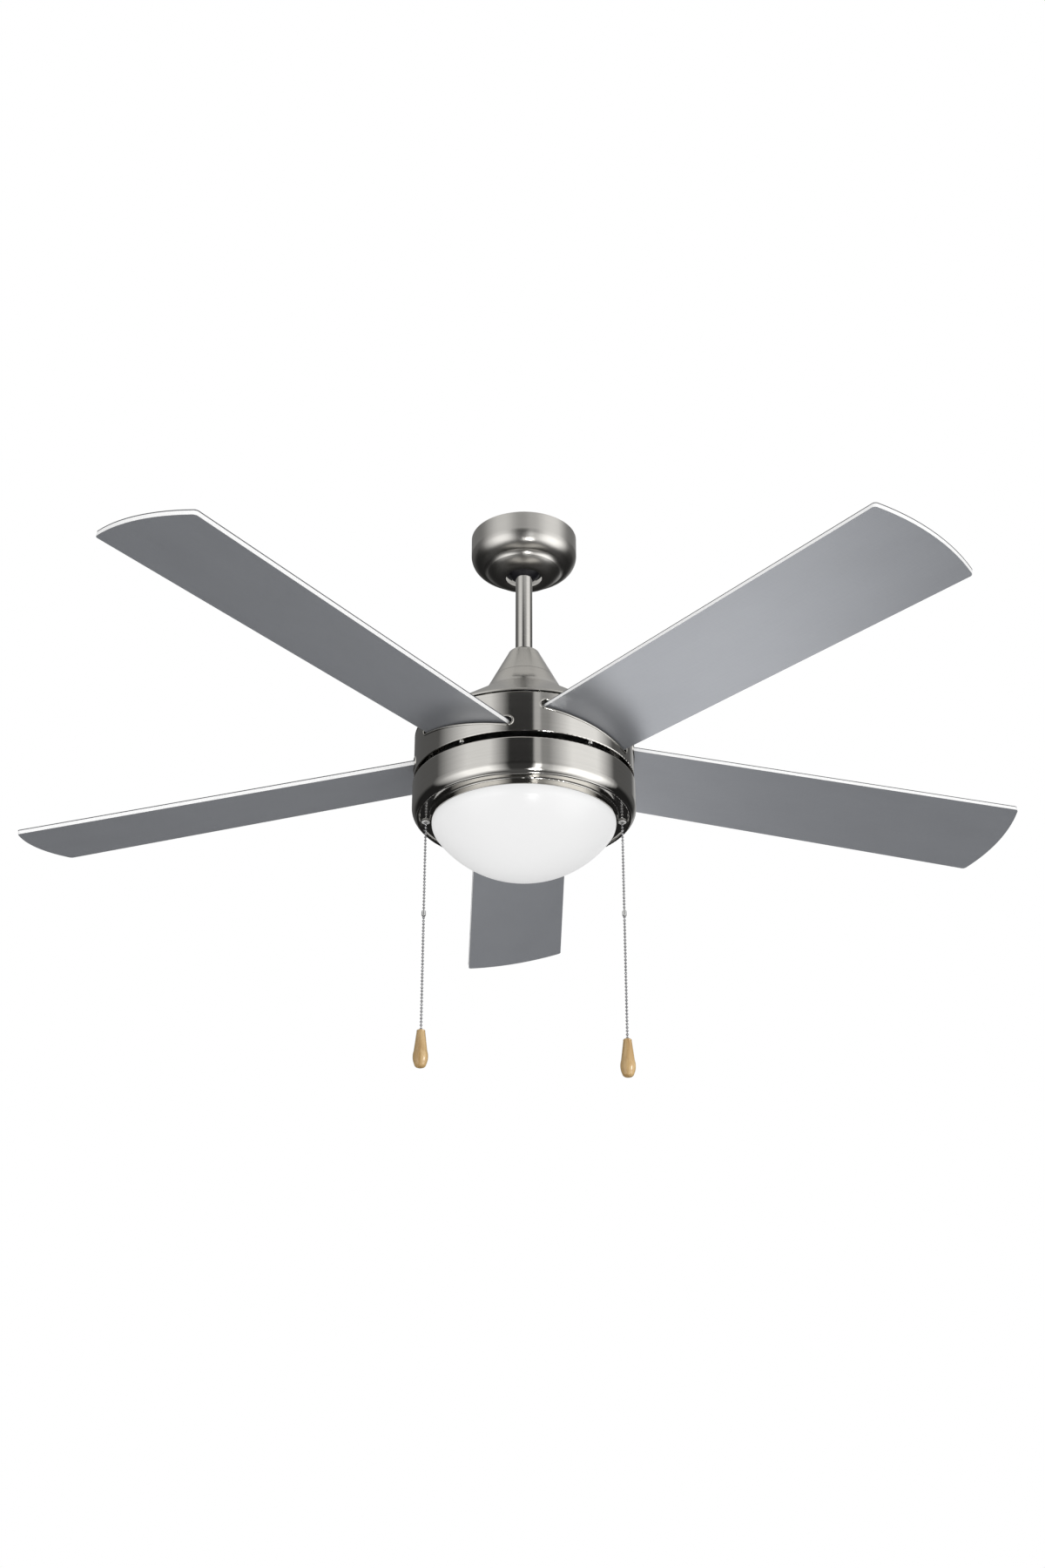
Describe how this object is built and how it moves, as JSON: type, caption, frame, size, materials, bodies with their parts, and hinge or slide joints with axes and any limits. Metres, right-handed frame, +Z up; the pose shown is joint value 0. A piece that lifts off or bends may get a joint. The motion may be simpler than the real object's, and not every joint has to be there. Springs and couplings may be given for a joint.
{
  "type": "ceiling fan with light",
  "caption": "Ceiling fan on a short tube, with wide flat pitched blades through a slotted round housing, an opal bowl light below, and two bead pull chains with wooden drops.",
  "frame": {"origin": "on the fan's axis in the plane of the ceiling, the middle of the hanger bracket's slotted top plate", "axes": "+Z up along the fan's axis, the fan hangs into -Z; X runs through the bracket's two slots and both pull chains; -Y is the side seen first"},
  "size_m": [1.2654, 1.2219, 0.7079],
  "materials": {
    "brushed_nickel": "fine circumferential brushing, clear lacquer",
    "zinc_steel": "zinc plated pressed steel",
    "screw_steel": "bright plated",
    "black_nylon": "moulded",
    "lead_jacket": "smooth insulation",
    "laminations": "varnished electrical steel",
    "copper": "enamelled winding wire",
    "bearing_steel": "ground",
    "motor_aluminium": "as cast",
    "switch_plastic": "moulded",
    "capacitor_case": "potted",
    "white_enamel": "baked white",
    "porcelain": "glazed",
    "lamp_glass": "frosted",
    "opal_glass": "opal, satin outside",
    "blade_silver": "board faced with fine-grained silver film, white edge band",
    "maple": "turned, clear varnish",
    "bead_chain": "nickel plated"
  },
  "bodies": {
    "ceiling": {"hanger_bracket": "zinc_steel", "canopy": "brushed_nickel", "canopy_screws": "screw_steel"},
    "hanging": {"hanger_ball": "black_nylon", "ball_cross_pin": "zinc_steel", "downrod": "brushed_nickel", "supply_leads": "lead_jacket", "yoke": "zinc_steel", "yoke_set_screws": "screw_steel", "clevis_pin": "zinc_steel", "cotter_pin": "screw_steel", "coupling_cover": "brushed_nickel", "motor_top_cover": "brushed_nickel", "motor_shaft": "zinc_steel", "stator_core": "laminations", "stator_windings": "copper", "bearing_inner_races": "bearing_steel", "switch_plate": "zinc_steel", "shaft_nut": "zinc_steel", "lower_housing": "brushed_nickel", "housing_screws": "screw_steel", "capacitor": "capacitor_case", "light_pan": "white_enamel", "lampholder_1": "porcelain", "lampholder_2": "porcelain", "bulb_1": "lamp_glass", "bulb_2": "lamp_glass", "fan_switch": "switch_plastic", "light_switch": "switch_plastic", "fan_chain_eyelet": "bead_chain", "light_chain_eyelet": "bead_chain"},
    "rotor": {"rotor_shell_upper": "motor_aluminium", "rotor_shell_lower": "motor_aluminium", "rotor_ring": "laminations", "rotor_screws": "screw_steel", "bearing_outer_races": "bearing_steel", "motor_band": "brushed_nickel", "blade_iron_1": "motor_aluminium", "blade_iron_2": "motor_aluminium", "blade_iron_3": "motor_aluminium", "blade_iron_4": "motor_aluminium", "blade_iron_5": "motor_aluminium", "blade_1": "blade_silver", "blade_2": "blade_silver", "blade_3": "blade_silver", "blade_4": "blade_silver", "blade_5": "blade_silver", "blade_screws": "screw_steel", "iron_screws": "screw_steel"},
    "bearing_cages": {"bearing_balls": "bearing_steel"},
    "shade": {"glass_shade": "opal_glass", "shade_ring": "motor_aluminium"},
    "fan_pull": {"fan_pull_link": "bead_chain"},
    "fan_pendant": {"fan_chain": "bead_chain", "fan_chain_connector": "bead_chain", "fan_chain_fob": "maple"},
    "light_pull": {"light_pull_link": "bead_chain"},
    "light_pendant": {"light_chain": "bead_chain", "light_chain_connector": "bead_chain", "light_chain_fob": "maple"}
  },
  "joints": [
    {"name": "ball_tilt", "type": "hinge", "parent": "ceiling", "child": "hanging", "pos_m": [0, 0, -0.036], "axis": [1, 0, 0], "range_deg": [-20, 20]},
    {"name": "blade_spin", "type": "hinge", "parent": "hanging", "child": "rotor", "pos_m": [0, 0, -0.314], "axis": [0, 0, 1], "continuous": true},
    {"name": "bearing_roll", "type": "hinge", "parent": "hanging", "child": "bearing_cages", "pos_m": [0, 0, -0.314], "axis": [0, 0, 1], "continuous": true},
    {"name": "shade_release", "type": "slide", "parent": "hanging", "child": "shade", "axis": [0, 0, -1], "range_m": [0, 0.12]},
    {"name": "fan_pull", "type": "slide", "parent": "hanging", "child": "fan_pull", "axis": [0, 0, -1], "range_m": [0, 0.01], "stiffness_N_per_m": 300, "springref_m": -0.005},
    {"name": "fan_chain_swing", "type": "hinge", "parent": "fan_pull", "child": "fan_pendant", "pos_m": [-0.1173, 0.009, -0.3925], "axis": [1, 0, 0], "range_deg": [-25, 25]},
    {"name": "light_pull", "type": "slide", "parent": "hanging", "child": "light_pull", "axis": [0, 0, -1], "range_m": [0, 0.01], "stiffness_N_per_m": 300, "springref_m": -0.005},
    {"name": "light_chain_swing", "type": "hinge", "parent": "light_pull", "child": "light_pendant", "pos_m": [0.1173, 0.009, -0.3925], "axis": [1, 0, 0], "range_deg": [-25, 25]}
  ],
  "couplings": [
    {"joint": "bearing_roll", "follows": "blade_spin", "ratio": 0.6158}
  ]
}
